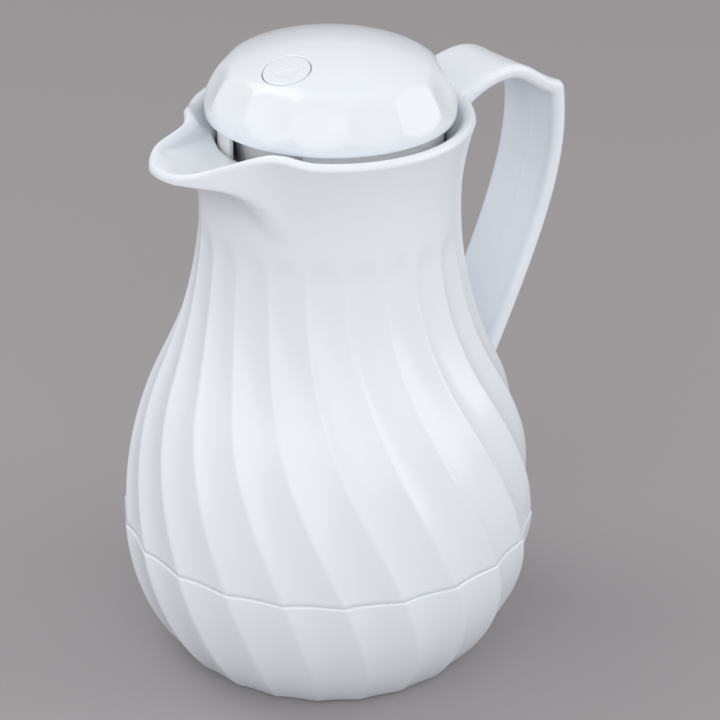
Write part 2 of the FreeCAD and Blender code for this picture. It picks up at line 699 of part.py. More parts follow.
def grip_cutters():
    """Slanted cylinders that leave a ring of shallow oval grips on the dome's shoulder."""
    tilt = math.radians(GRIP_TILT_DEG)
    shoulder_z = dome_steps(0, DOME_RIM)[1][1]
    height = DOME_RIM + GRIP_RISE
    shoulder = math.sqrt(DOME_SHOULDER_ARC ** 2 - (height - shoulder_z) ** 2)
    reach = DOME_RADIUS - DOME_SHOULDER_ARC + shoulder + (GRIP_ARC - GRIP_DEPTH) * math.cos(tilt)
    level = height + (GRIP_ARC - GRIP_DEPTH) * math.sin(tilt)
    cutters = []
    for grip in range(GRIPS):
        angle = math.radians(GRIP_PHASE_DEG + grip * FULL_TURN / GRIPS)
        run = polar(-math.sin(tilt), angle, math.cos(tilt))
        start = polar(reach, angle, level) - run * DOME_RADIUS
        cutters.append(Part.makeCylinder(GRIP_ARC, 2 * DOME_RADIUS, start, run))
    return cutters


def marker_axis():
    """Crown's centre, and the unit direction from it through the middle of the marker."""
    centre = Vector(0, 0, DOME_TOP - DOME_CROWN_ARC)
    lean = math.asin(MARKER_REACH / DOME_CROWN_ARC)
    return centre, polar(math.sin(lean), math.radians(MARKER_ANGLE_DEG), math.cos(lean))


def marker_slug(radius, inset):
    """Round slug along the marker's axis, from a level under the crown out past the dome."""
    centre, run = marker_axis()
    slug = Part.makeCylinder(radius, DOME_CROWN_ARC + CUT_MARGIN, centre, run)
    return slug.cut(Part.makeSphere(DOME_CROWN_ARC - inset, centre))


def lid_dome():
    """Lid's cover: a hollow dome with finger grips and a round recess for the marker."""
    shell = dome_solid(0, DOME_RIM).cut(dome_solid(DOME_WALL, DOME_RIM))
    recess = marker_slug(MARKER_RADIUS + MARKER_FIT, MARKER_THICKNESS + MARKER_SEAT_GAP)
    return shell.cut(grip_cutters() + [recess])


def content_marker():
    """Push-in disc that lies flush with the dome, with a fine rib across it."""
    centre, run = marker_axis()
    crown = Part.makeSphere(DOME_CROWN_ARC, centre)
    rib_crown = Part.makeSphere(DOME_CROWN_ARC + MARKER_RIB_HEIGHT, centre)
    plate = marker_slug(MARKER_RADIUS, MARKER_THICKNESS).common(crown)
    turn = math.radians(MARKER_RIB_ANGLE_DEG)
    along = polar(1, turn, 0)
    across = polar(1, turn + math.pi / 2, 0)
    foot = centre + run * (DOME_CROWN_ARC - MARKER_THICKNESS / 2)
    corners = [foot + along * (MARKER_RIB_LENGTH / 2 * a) + across * (MARKER_RIB / 2 * b)
               for a, b in ((-1, -1), (1, -1), (1, 1), (-1, 1), (-1, -1))]
    rib = Part.Face(Part.makePolygon(corners)).extrude(Vector(0, 0, MARKER_THICKNESS + CUT_MARGIN))
    return plate.fuse(rib.common(rib_crown))


def stopper_inside(gap):
    """Points of the stopper's hollow, from its top down to its floor, set in by a gap."""
    top = DOME_RADIUS - DOME_WALL - STOPPER_TOP_FIT - STOPPER_WALL - gap
    waist = STOPPER_FLANGE_RADIUS - STOPPER_WAIST_INSET - STOPPER_WALL - gap
    plug = STOPPER_RADIUS - STOPPER_WALL - gap
    shoulder = DOME_RIM + STOPPER_WALL + gap
    bend = STOPPER_FLANGE_UNDER + STOPPER_FLANGE_THICKNESS + STOPPER_WAIST
    floor = BASIN_FLOOR - STOPPER_DEPTH + STOPPER_WALL + gap
    return [
        (top, shoulder),
        (waist + STOPPER_BOWL, shoulder - STOPPER_SHOULDER),
        (waist, bend),
        (plug, STOPPER_FLANGE_UNDER),
        (plug, floor),
        (0, floor),
    ]


def stopper_skirt(shoulder):
    """Skirt that hangs from the stopper's shoulder into the basin, with a window at the spout for the drink."""
    outer = min(shoulder, BASIN_RADIUS - STOPPER_SKIRT_GAP)
    bottom = DOME_RIM - STOPPER_SKIRT
    skirt = ring(outer - STOPPER_SKIRT_WALL, outer, bottom, DOME_RIM)
    upright = Vector(0, 0, 1)
    foot = Vector(0, 0, bottom)
    window = Part.makeCylinder(outer + CUT_MARGIN, STOPPER_SKIRT, foot, upright, POUR_WINDOW_DEG)
    window.rotate(foot, upright, MARKER_ANGLE_DEG - POUR_WINDOW_DEG / 2)
    return skirt.cut(window)


def lid_stopper():
    """Stopper under the dome: a bowl in a skirt, a flange over the gasket and a plug with thread lugs."""
    bottom = BASIN_FLOOR - STOPPER_DEPTH
    top = DOME_RADIUS - DOME_WALL - STOPPER_TOP_FIT
    rim = DOME_RIM + STOPPER_TOP_LAP
    flange_top = STOPPER_FLANGE_UNDER + STOPPER_FLANGE_THICKNESS
    waist = STOPPER_FLANGE_RADIUS - STOPPER_WAIST_INSET
    inside = stopper_inside(0)
    body = turned(half_outline(
        (0, bottom),
        (STOPPER_RADIUS - STOPPER_CHAMFER, bottom),
        (STOPPER_RADIUS, bottom + STOPPER_CHAMFER),
        (STOPPER_RADIUS, GASKET_UNDER),
        (GASKET_BORE - GASKET_FIT, GASKET_UNDER),
        (GASKET_BORE - GASKET_FIT, STOPPER_FLANGE_UNDER),
        (STOPPER_FLANGE_RADIUS, STOPPER_FLANGE_UNDER),
        (STOPPER_FLANGE_RADIUS, flange_top),
        (waist, flange_top),
        (waist, flange_top + STOPPER_WAIST),
        (waist + STOPPER_BOWL, DOME_RIM - STOPPER_SHOULDER),
        (top, DOME_RIM),
        (top, rim),
        (inside[0][0], rim),
        *inside,
        (0, bottom),
    ))
    lugs = thread_lugs(STOPPER_RADIUS - THREAD_ROOT, MOUTH_RADIUS - THREAD_SIDE_GAP, STOPPER_LUG_BOTTOM)
    return body.fuse(lugs + [stopper_skirt(top)])


def stopper_gasket():
    """Flat gasket under the stopper's flange, which closes the mouth."""
    return ring(GASKET_BORE, GASKET_BORE + GASKET_WIDTH, GASKET_UNDER, GASKET_UNDER + GASKET_THICKNESS)


def lid_foam():
    """Foam that fills the dome and the stopper."""
    rim = DOME_RIM + STOPPER_TOP_LAP + FOAM_GAP
    inside = stopper_inside(FOAM_GAP)
    return turned(half_outline(
        (0, inside[-1][1]),
        *reversed(inside[:-1]),
        (inside[0][0], rim),
        *dome_steps(DOME_WALL + FOAM_GAP, rim),
        (0, inside[-1][1]),
    ))


PIECES = {
    "outer_shell": outer_shell,
    "base_cup": base_cup,
    "fill_plug": fill_plug,
    "inner_liner": inner_liner,
    "mouth_seal": mouth_seal,
    "insulation_foam": insulation_foam,
    "lid_dome": lid_dome,
    "content_marker": content_marker,
    "lid_stopper": lid_stopper,
    "stopper_gasket": stopper_gasket,
    "lid_foam": lid_foam,
}

os.makedirs("parts", exist_ok=True)
for name, make in PIECES.items():
    shape = make().removeSplitter()
    shape.exportStep("parts/" + name + ".step")
    print(name, len(shape.Solids), "solid", shape.isValid(), round(shape.Volume / 1000, 2), "cm3")
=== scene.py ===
import math

import bpy
import numpy as np
from mathutils import Matrix, Vector


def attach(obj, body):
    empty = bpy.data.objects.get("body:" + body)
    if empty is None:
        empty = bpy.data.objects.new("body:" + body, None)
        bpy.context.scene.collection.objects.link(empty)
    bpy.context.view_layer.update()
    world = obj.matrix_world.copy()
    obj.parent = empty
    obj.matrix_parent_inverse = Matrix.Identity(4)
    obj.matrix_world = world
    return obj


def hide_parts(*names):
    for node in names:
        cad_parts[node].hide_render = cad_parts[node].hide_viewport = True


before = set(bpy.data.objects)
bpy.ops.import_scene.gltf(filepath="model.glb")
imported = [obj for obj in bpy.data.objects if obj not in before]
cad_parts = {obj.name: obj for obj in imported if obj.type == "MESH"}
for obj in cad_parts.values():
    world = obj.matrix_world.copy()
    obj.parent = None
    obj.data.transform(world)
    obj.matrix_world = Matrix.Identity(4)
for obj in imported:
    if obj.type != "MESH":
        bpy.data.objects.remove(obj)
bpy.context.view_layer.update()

# Insulated beverage server, in metres, +Z up. The spout points to -X and the handle to +X.
MM = 0.001

# Pot body
BELLY = 72.9 * MM
SEAM = 50.5 * MM
BELLY_ARC = 132.0 * MM
NECK = 44.7 * MM
NECK_TOP = 172.0 * MM
COLLAR_RISE = 31.0 * MM
COLLAR_FLARE = 5.2 * MM
RIM = NECK_TOP + COLLAR_RISE
COLLAR_WALL = 3.2 * MM
WALL_OFFSET = 4.3 * MM
BASIN_FLOOR = RIM - 23.0 * MM
LEDGE = 3.0 * MM
LEDGE_BORE = 35.3 * MM
BASIN_RADIUS = 39.0 * MM
FUNNEL_FOOT = RIM - 9.0 * MM
LIP_ROUND = 2.2 * MM
LIP_OUTSIDE = 1.7 * MM  # crest of the lip to its outside
TIP_LIP_SHARE = 0.3  # fall of the lip's inside at the spout's tip, as a share of its round elsewhere
TIP_LIP_END = math.radians(24.0)

# Rows of the shell's mesh
SCOOP_ZONE = 150.0 * MM  # the rows lie closer from here up to the neck, where the flutes end
BELLY_ROWS = 56
SCOOP_ROWS = 34
COLLAR_ROWS = 62
COLLAR_CROWDING = 1.8  # the collar's rows crowd towards the lip
LIP_BEND_START = 178.0 * MM  # the rows bend with the lip's height from here up
LIP_ROWS = 15
BASIN_ROWS = 40
BASIN_CROWDING = 1.1
LEDGE_ROWS = 7
HIDDEN_ROWS = 12

# Swirl flutes
FLUTES = 22
FLUTE_DEPTH = 1.7 * MM
FOOT_FLUTE_DEPTH = 0.9 * MM
FLUTE_TOP = 164.0 * MM
SCOOP_ARCH = 4.0 * MM  # a flute's rounded end, from its sides up to its middle
SCOOP_RUN = 9.0 * MM  # length of the ramp at that end
NECK_FADE = 0.55  # the flutes lose this share of their depth towards the neck
NECK_FADE_START = 0.72  # as a share of their top's height
SWIRL = math.radians(40.0)
RIDGE_PHASE = math.radians(-4.0)
STEEP_SIDE = 4.95
GENTLE_SIDE = 2.55
STEPS_PER_FLUTE = 20

# Base cup
BASE_ARC = 71.0 * MM
BASE_PROUD = 0.5 * MM
BASE_EDGE = 1.2 * MM  # round between the side and the foot
BASE_EDGE_START = 0.15  # angle of that round's lowest row
BASE_EDGE_ROWS = 5
BASE_ROWS = 54
BASE_FLOOR = 3.0 * MM
LAP_OUTSIDE = 68.3 * MM  # rib that laps inside the shell
LAP_INSIDE = 66.3 * MM
LAP_TOP = SEAM + 6.0 * MM
LAP_FOOT = SEAM - 3.0 * MM
LAP_CHAMFER = 0.3 * MM
FILL_HOLE = 7.0 * MM
FOOT_RECESS = 1.2 * MM
# Points as reach and height: the cup's hollow down to its floor, and the step from recess to foot ring
BASE_HOLLOW = ((68.0 * MM, 46.5 * MM), (66.4 * MM, 30.0 * MM), (60.5 * MM, 14.0 * MM), (52.5 * MM, 4.0 * MM))
BASE_FLOOR_REACHES = (51.0 * MM, 20.0 * MM)
FOOT_STEP = ((40.5 * MM, FOOT_RECESS), (41.2 * MM, 0.9 * MM), (41.4 * MM, 0.25 * MM), (41.7 * MM, 0.0))

# Spout
SPOUT_REACH = 71.0 * MM
SPOUT_TIP = 16.5 * MM
SPOUT_LEAN = math.radians(17.0)
SPOUT_WALL = 3.0 * MM
SPOUT_COVE = 26.7 * MM
SPOUT_COVE_START = 67.5 * MM
SPOUT_COVE_SWEEP = math.radians(50.0)
SPOUT_UNDER = 194.8 * MM
SPOUT_TIP_TOP = 197.8 * MM
SPOUT_RAMP_POWER = 0.8  # the channel's floor steepens towards the basin
SPOUT_NOSE = 3.8 * MM  # the tip's reach past the start of the hollow underside
SPOUT_NOSE_FADE = 3.2 * MM
SPOUT_EDGE = 2.5 * MM  # softness of the edge between the spout's side and its underside, at the tip
SPOUT_EDGE_LOW = 8.0 * MM  # the same, where the edge runs out on the neck
SPOUT_EDGE_DROP = 16.0 * MM
SPOUT_ROOT = 6.0 * MM  # softness of the corner between spout and collar
SPOUT_UNDER_END = math.pi / 3  # the underside's reach is measured no further round than this
CHANNEL_SOFT = 18.0 * MM
THROAT_SOFT = 3.0 * MM
# The lip's height over the rim in millimetres, at angles from the spout's middle plane
LIP_ANGLES_DEG = (0.0, 5.0, 10.0, 13.0, 16.0, 20.5, 24.0, 29.0, 34.0, 39.0, 46.0)
LIP_HEIGHTS_MM = (-5.2, -4.8, -3.7, -2.6, -1.8, -0.8, -0.1, 0.8, 0.9, 0.0, -0.9)

# Handle: points of the strap's middle line, as reach and height
HANDLE_ROOT = (43.9 * MM, 193.5 * MM)
HANDLE_ARCH = ((48.15 * MM, 199.5 * MM), (57.6 * MM, 204.2 * MM))
HANDLE_CROWN = (67.5 * MM, 204.2 * MM)
HANDLE_SADDLE = ((77.6 * MM, 204.2 * MM), (82.0 * MM, 196.0 * MM))
HANDLE_CORNER = (91.7 * MM, 193.4 * MM)
HANDLE_GRIP = ((96.3 * MM, 165.5 * MM), (86.6 * MM, 141.7 * MM))
HANDLE_FOOT = (59.95 * MM, 90.0 * MM)
HANDLE_BEND = 1.6 * MM  # the corner is rounded over this run on each side
HANDLE_FAN = 2.6 * MM  # the sections fan out over this run on each side of the corner
ARCH_STEPS = 28
SADDLE_STEPS = 24
GRIP_STEPS = 70
BEND_STEPS = 9

# Handle: the strap's section
HANDLE_HALF_WIDTH = 14.7 * MM
HANDLE_HALF_THICKNESS = 2.5 * MM
HANDLE_EDGE = 2.2 * MM
HANDLE_HOLLOW = 0.8 * MM  # dish of the strap's inner face
HOLLOW_STEEPNESS = 2.2
SADDLE_DISH = 1.0 * MM
HANDLE_FILLET = 0.9 * MM  # the strap thickens inside its corner
HANDLE_SINK = 0.7  # the strap's foot ends in the body's wall, at this share of its depth
PARTING_LINE = 0.12 * MM
PARTING_WIDTH = 0.35 * MM
PARTING_STEPS = (-1.2 * MM, -0.6 * MM, -0.3 * MM, 0.0, 0.3 * MM, 0.6 * MM, 1.2 * MM)
FACE_STEPS = 14
EDGE_STEPS = 7
# Where these lie along the strap, in steps of its middle line from the corner
SADDLE_DISH_BEFORE = 9
SADDLE_DISH_RUN = 7.0
HOLLOW_RUN = 6.0
FILLET_RUN = 4.0
PARTING_START = 4
PARTING_RUN = 10.0

# Lid
DOME_RADIUS = 42.5 * MM
DOME_RIM = 202.0 * MM
DOME_TOP = 227.5 * MM
DOME_CROWN_ARC = 85.0 * MM
DOME_SHOULDER_ARC = 18.0 * MM
DOME_WALL = 3.0 * MM
DOME_EDGE = 0.7 * MM
DOME_EDGE_INSIDE = 0.2  # middle of the lower edge's rounds, as shares of the edge
DOME_EDGE_OUTSIDE = 0.3
DOME_ROWS = 64
DOME_INSIDE_ROWS = 20
DOME_SHARP = math.radians(38.0)  # edges steeper than this stay sharp
GRIPS = 14
GRIP_ARC = 70.0 * MM
GRIP_DEPTH = 1.5 * MM
GRIP_RISE = 10.0 * MM
GRIP_TILT = math.radians(28.0)
GRIP_PHASE = math.radians(-4.4)
GRIP_SOFTNESS = 1.2 * MM
GRIP_FOOT = 0.5 * MM  # the grips start this far above the dome's lower edge
GRIP_FOOT_FADE = 1.5 * MM
GRIP_LEAST_FACING = 0.3
STEPS_PER_GRIP = 40

# Content marker and its recess
MARKER_RADIUS = 8.0 * MM
MARKER_FIT = 0.3 * MM
MARKER_THICKNESS = 1.6 * MM
MARKER_SEAT_GAP = 0.1 * MM
MARKER_REACH = 24.3 * MM
MARKER_ANGLE = math.radians(194.6)
MARKER_SUNK = 0.08 * MM
MARKER_EDGE = 0.35 * MM
MARKER_POLE = 0.02  # the first ring's radius, as a share of the flat's
MARKER_UNDERSIDE = 0.5  # the last ring's radius, as a share of the marker's
MARKER_ROWS = 34
MARKER_EDGE_ROWS = 6
MARKER_COLUMNS = 144
RIB_ANGLE = math.radians(-25.0)
RIB_HALF_WIDTH = 0.4 * MM
RIB_HALF_LENGTH = 4.8 * MM
RIB_END_FADE = 0.6 * MM
RIB_HEIGHT = 0.22 * MM
RECESS_COLUMNS = 96
# The recess's rounded mouth: steps out from its bore, and up from the dome's surface
MOUTH_STEPS_OUT = (0.0, 0.15 * MM, 0.5 * MM, 1.2 * MM)
MOUTH_STEPS_UP = (-0.45 * MM, -0.2 * MM, 0.0, 0.3 * MM)

# Moulded skin
CLOUD_SCALE = 22.0
CLOUD_DETAIL = 3.0
FINE_DETAIL = 2.0
GRAIN_HEIGHT = 0.02 * MM

# Photograph's camera
FRAME_PX = 720.0
FOCAL_PX = 2858.0
SENSOR_WIDTH = 36.0
CAMERA_NEAR = 0.01
CAMERA_DISTANCE = 1002.0 * MM
CAMERA_ELEVATION = math.radians(26.53)
CAMERA_AZIMUTH = math.radians(39.0)
CAMERA_ROLL = math.radians(-0.75)
CAMERA_TARGET = Vector((0.0, 0.0, 110.0 * MM))
TARGET_PX = (328.9, 355.6)

# Studio
STAGE_HALF_WIDTH = 3.0
STAGE_NEAR = -2.5
STAGE_FAR = 2.0
STAGE_CURVE = 1.5  # radius of the curve between floor and backdrop
STAGE_CURVE_START = 0.1
STAGE_COLUMNS = 3
STAGE_ROWS = 6
STAGE_CURVE_ROWS = 10
STAGE_GREY = (0.361, 0.346, 0.354)
STAGE_ROUGHNESS = 0.9
SKY_STRENGTH = 0.565
# Each lamp's name, place, side and power
LAMPS = (
    ("front", (-0.7, -1.0, 0.5), 1.2, 4.9),
    ("right", (1.1, -1.0, 0.6), 1.2, 8.2),
    ("left", (-1.5, -0.3, 0.8), 1.2, 5.1),
    ("top", (-0.5, 0.7, 1.5), 1.0, 6.6),
)


def smooth_max(a, b, width):
    """Larger of two arrays, with the corner between them rounded over a width."""
    near = np.maximum(width - np.abs(a - b), 0.0) / width
    return np.maximum(a, b) + near * near * width / 4


def smooth_min(a, b, width):
    """Smaller of two arrays, with the corner between them rounded over a width."""
    return -smooth_max(-a, -b, width)


def smooth_step(x):
    """Ramp from 0 to 1 with level ends."""
    x = np.clip(x, 0.0, 1.0)
    return x * x * (3 - 2 * x)


def smooth_curve(x, xs, ys):
    """Monotone cubic through a few points: a slope is the harmonic mean of its two chords, or level."""
    xs = np.asarray(xs, float)
    ys = np.asarray(ys, float)
    chord = np.diff(ys) / np.diff(xs)
    same_way = chord[1:] * chord[:-1] > 0
    product = np.where(same_way, 2 * chord[1:] * chord[:-1], 0.0)
    slope = np.concatenate(([0.0], product / np.where(same_way, chord[1:] + chord[:-1], 1.0), [0.0]))
    x = np.clip(x, xs[0], xs[-1])
    span = np.clip(np.searchsorted(xs, x, side="right") - 1, 0, len(xs) - 2)
    width = xs[span + 1] - xs[span]
    t = (x - xs[span]) / width
    first = (1 + 2 * t) * (1 - t) ** 2 * ys[span] + t * (1 - t) ** 2 * width * slope[span]
    return first + t * t * (3 - 2 * t) * ys[span + 1] + t * t * (t - 1) * width * slope[span + 1]


def bezier(points, count):
    """Points along a cubic curve."""
    t = np.linspace(0.0, 1.0, count)[:, None]
    p = np.array(points)
    return (1 - t) ** 3 * p[0] + 3 * (1 - t) ** 2 * t * p[1] + 3 * (1 - t) * t * t * p[2] + t ** 3 * p[3]


def put_mesh(name, points, faces, material):
    """Mesh object at the origin, smooth shaded."""
    mesh = bpy.data.meshes.new(name)
    mesh.from_pydata(points, [], faces)
    mesh.polygons.foreach_set("use_smooth", np.ones(len(mesh.polygons), dtype=bool))
    mesh.update()
    obj = bpy.data.objects.new(name, mesh)
    bpy.context.scene.collection.objects.link(obj)
    mesh.materials.append(material)
    return obj


def grid_faces(rows, columns, close_rows=False, close_columns=True):
    """Quads of a grid whose rows and columns may each close on themselves."""
    row = np.arange(rows if close_rows else rows - 1)
    column = np.arange(columns if close_columns else columns - 1)
    r, c = np.meshgrid(row, column, indexing="ij")
    next_row = (r + 1) % rows
    next_column = (c + 1) % columns
    quads = np.stack((r * columns + c, r * columns + next_column,
                      next_row * columns + next_column, next_row * columns + c), axis=-1)
    return quads.reshape(-1, 4)


def ring_mesh(name, radius, angle, z, material):
    """Closed ring: rows follow one another round the section and back to the first."""
    points = np.stack((radius * np.cos(angle), radius * np.sin(angle), z), axis=-1)
    faces = grid_faces(*points.shape[:2], close_rows=True)
    return put_mesh(name, points.reshape(-1, 3).tolist(), faces.tolist(), material)


def capped_mesh(name, points, material):
    """Tube of rings with a flat cap at each end."""
    rows, columns = points.shape[:2]
    faces = grid_faces(rows, columns).tolist()
    faces.append(list(range(columns - 1, -1, -1)))
    faces.append(list(range((rows - 1) * columns, rows * columns)))
    return put_mesh(name, points.reshape(-1, 3).tolist(), faces, material)


def domed_mesh(name, points, first_pole, last_pole, material):
    """Rings between two poles, closed with triangles at both."""
    rows, columns = points.shape[:2]
    cloud = np.vstack((points.reshape(-1, 3), first_pole, last_pole))
    faces = grid_faces(rows, columns).tolist()
    here = np.arange(columns)
    after = (here + 1) % columns
    last = (rows - 1) * columns
    faces += np.stack((after, here, np.full(columns, rows * columns)), axis=-1).tolist()
    faces += np.stack((last + here, last + after, np.full(columns, rows * columns + 1)), axis=-1).tolist()
    return put_mesh(name, cloud.tolist(), faces, material)


def flask_radius(z):
    """Belly arc, widest at the seam, tangent to a neck arc that is upright at the neck."""
    belly_x = BELLY - BELLY_ARC
    rise = NECK_TOP - SEAM
    reach = NECK - belly_x
    neck_arc = (reach ** 2 + rise ** 2 - BELLY_ARC ** 2) / (2 * (BELLY_ARC - reach))
    join = SEAM + BELLY_ARC * rise / (BELLY_ARC + neck_arc)
    low = belly_x + np.sqrt(BELLY_ARC ** 2 - np.clip(z - SEAM, 0.0, join - SEAM) ** 2)
    high = NECK + neck_arc - np.sqrt(neck_arc ** 2 - np.clip(NECK_TOP - z, 0.0, NECK_TOP - join) ** 2)
    return np.where(z < join, low, high)


def collar_radius(z, wall=0.0):
    """Flare of the collar, an arc that is upright at the neck, or its inside at a wall's distance."""
    arc = (COLLAR_RISE ** 2 + COLLAR_FLARE ** 2) / (2 * COLLAR_FLARE)
    return NECK + arc - np.sqrt((arc + wall) ** 2 - np.maximum(z - NECK_TOP, 0.0) ** 2)


def base_radius(z):
    """Side arc of the base cup, upright at the seam."""
    return BELLY + BASE_PROUD - BASE_ARC + np.sqrt(BASE_ARC ** 2 - (SEAM - z) ** 2)


def swirl(z):
    """Turn of a ridge: half a cosine wave from the foot to the flutes' top ends, and steady above."""
    return RIDGE_PHASE + SWIRL / 2 * np.cos(np.pi * np.minimum(z / FLUTE_TOP, 1.0))


def ring_columns():
    """Column angles of the pot, with a ridge at each whole flute, and the share across the flute."""
    count = FLUTES * STEPS_PER_FLUTE
    index = np.arange(count)[None, :]
    return index * (2 * np.pi / count), (index % STEPS_PER_FLUTE) / STEPS_PER_FLUTE


def flute_form(share):
    """Depth across a flute, as a share: a cubic with a steep side and a gentle one."""
    rest = 1 - share
    return STEEP_SIDE * share * rest ** 2 + GENTLE_SIDE * share ** 2 * rest


def spout_angle(angle):
    """Angle from the spout's middle plane, 0 at the tip."""
    return np.abs((angle % (2 * np.pi)) - np.pi)


def spout_plan(delta, inset):
    """Polar radius of the spout's plan: a round tip and two straight sides, both set in by an inset."""
    radius = SPOUT_TIP - inset
    centre = SPOUT_REACH - SPOUT_TIP
    touch = math.atan2(radius * math.cos(SPOUT_LEAN), centre + radius * math.sin(SPOUT_LEAN))
    near = np.minimum(delta, touch)
    tip = centre * np.cos(near) + np.sqrt(radius ** 2 - (centre * np.sin(near)) ** 2)
    away = np.pi / 2 - SPOUT_LEAN - np.clip(delta, touch, np.pi / 2 - SPOUT_LEAN)
    side = (centre * math.sin(SPOUT_LEAN) + radius) / np.cos(away)
    return np.where(delta < touch, tip, side)


def spout_under(z):
    """Reach of the spout's hollow underside at a height: a round cove, a slope and a nose at the tip."""
    drop = np.maximum(SPOUT_UNDER - z, 0.0)
    end_drop = SPOUT_COVE * (1 - math.cos(SPOUT_COVE_SWEEP))
    turn = np.arccos(np.clip(1 - drop / SPOUT_COVE, math.cos(SPOUT_COVE_SWEEP), 1.0))
    slope = np.maximum(drop - end_drop, 0.0) / math.tan(SPOUT_COVE_SWEEP)
    nose = SPOUT_NOSE * np.exp(-drop / SPOUT_NOSE_FADE)
    return SPOUT_COVE_START - SPOUT_COVE * np.sin(turn) - slope + nose


def spout_ramp(z):
    """Reach of the channel's floor at a height: a ramp from the basin's edge out to the tip."""
    rise = np.maximum(z - FUNNEL_FOOT, 0.0) / (SPOUT_TIP_TOP - FUNNEL_FOOT)
    return BASIN_RADIUS + (SPOUT_REACH - SPOUT_WALL - BASIN_RADIUS) * rise ** (1 / SPOUT_RAMP_POWER)


def lip_height(delta):
    """Height of the lip: lowest at the tip, a hump beside the collar and level round the rest."""
    return RIM + smooth_curve(np.degrees(delta), LIP_ANGLES_DEG, LIP_HEIGHTS_MM) * MM


def pot_outside(angle, share, z):
    """Outside of the shell: flask and collar less the flutes, joined softly to the spout."""
    round_form = np.where(z < NECK_TOP, flask_radius(z), collar_radius(z))
    end = FLUTE_TOP + SCOOP_ARCH * (1 - (2 * share - 1) ** 2)
    left = smooth_step((end - z) / SCOOP_RUN)
    fade = 1 - NECK_FADE * smooth_step((z / FLUTE_TOP - NECK_FADE_START) / (1 - NECK_FADE_START))
    fluted = round_form - FLUTE_DEPTH * flute_form(share) * left * fade
    delta = spout_angle(angle)
    edge = SPOUT_EDGE + (SPOUT_EDGE_LOW - SPOUT_EDGE) * smooth_step((SPOUT_UNDER - z) / SPOUT_EDGE_DROP)
    under = spout_under(z) / np.cos(np.minimum(delta, SPOUT_UNDER_END))
    spout = smooth_min(spout_plan(delta, 0.0), under, edge)
    return smooth_max(fluted, spout, SPOUT_ROOT)


def pot_inside(angle, z):
    """Inside of the collar, a funnel over a round basin, joined softly to the spout's channel."""
    top = collar_radius(RIM, COLLAR_WALL)
    funnel = BASIN_RADIUS + (top - BASIN_RADIUS) * (z - FUNNEL_FOOT) / (RIM - FUNNEL_FOOT)
    room = smooth_max(np.minimum(funnel, top), np.full_like(funnel, BASIN_RADIUS), THROAT_SOFT)
    channel = smooth_min(spout_plan(spout_angle(angle), SPOUT_WALL), spout_ramp(z), CHANNEL_SOFT)
    return smooth_max(room, channel, THROAT_SOFT)


def shell_side(column, share, top):
    """Fluted outside up to the lip, in level rows, of which the collar's bend with the lip's height."""
    belly = np.linspace(SEAM, SCOOP_ZONE, BELLY_ROWS)
    scoops = np.linspace(SCOOP_ZONE, NECK_TOP, SCOOP_ROWS)[1:]
    lip_foot = RIM - LIP_ROUND
    crowded = 1 - np.linspace(1.0, 0.0, COLLAR_ROWS)[1:] ** COLLAR_CROWDING
    level = np.concatenate((belly, scoops, NECK_TOP + (lip_foot - NECK_TOP) * crowded))[:, None]
    bend = smooth_step((level - LIP_BEND_START) / (lip_foot - LIP_BEND_START))
    z = level + (top - RIM) * bend
    angle = column + swirl(level)
    return pot_outside(angle, share, z), angle, z


def shell_lip(head, share, top):
    """A quarter round up the outside to the crest, then a cosine-squared fall inside, least at the tip."""
    outer_edge = pot_outside(head, share, top - LIP_ROUND)
    from_tip = smooth_step(spout_angle(head) / TIP_LIP_END)
    inner_fall = LIP_ROUND * (TIP_LIP_SHARE + (1 - TIP_LIP_SHARE) * from_tip)
    width = outer_edge - pot_inside(head, top - inner_fall)
    outside = np.minimum(LIP_OUTSIDE, width / 2)
    sweep = np.linspace(0.0, np.pi, LIP_ROWS)[1:-1, None]
    past_crest = np.cos(sweep) < 0
    radius = outer_edge - outside + np.cos(sweep) * np.where(past_crest, width - outside, outside)
    fall = np.where(past_crest, inner_fall * np.cos(sweep) ** 2, LIP_ROUND * (1 - np.sin(sweep)))
    return radius, top - fall, top - inner_fall


def shell_basin(head, lip_foot):
    """Inside from the lip down to the basin's floor, then in along the floor to the bore."""
    fall = np.linspace(0.0, 1.0, BASIN_ROWS)[:, None] ** BASIN_CROWDING
    side_z = lip_foot - fall * (lip_foot - BASIN_FLOOR)
    run = np.linspace(0.0, 1.0, LEDGE_ROWS)[1:, None]
    edge = pot_inside(head, np.full_like(head, BASIN_FLOOR))
    floor = edge + run * (LEDGE_BORE - edge)
    radius = np.vstack((pot_inside(head, side_z), floor))
    return radius, np.vstack((side_z, np.full_like(floor, BASIN_FLOOR)))


def shell_hidden(column):
    """Bore and underside of the ledge, then the plain inside of the wall down to the seam."""
    under = BASIN_FLOOR - LEDGE
    z = np.concatenate(([under, under], np.linspace(NECK_TOP, SEAM, HIDDEN_ROWS)))[:, None]
    radius = flask_radius(z) - WALL_OFFSET
    radius[0, 0] = LEDGE_BORE
    wide = np.ones_like(column)
    return radius * wide, column + swirl(z), z * wide


def outer_shell(material):
    """Shell of the pot: up the outside, over the lip, down into the basin and back down the hidden inside."""
    column, share = ring_columns()
    head = column + swirl(RIM)
    top = lip_height(spout_angle(head))
    side, side_angle, side_z = shell_side(column, share, top)
    lip, lip_z, lip_foot = shell_lip(head, share, top)
    basin, basin_z = shell_basin(head, lip_foot)
    hidden, hidden_angle, hidden_z = shell_hidden(column)
    radius = np.vstack((side, lip, basin, hidden))
    height = np.vstack((side_z, lip_z, basin_z, hidden_z))
    turn = np.vstack((side_angle, np.repeat(head, len(lip) + len(basin), axis=0), hidden_angle))
    return ring_mesh("pot_shell", radius, turn, height, material)


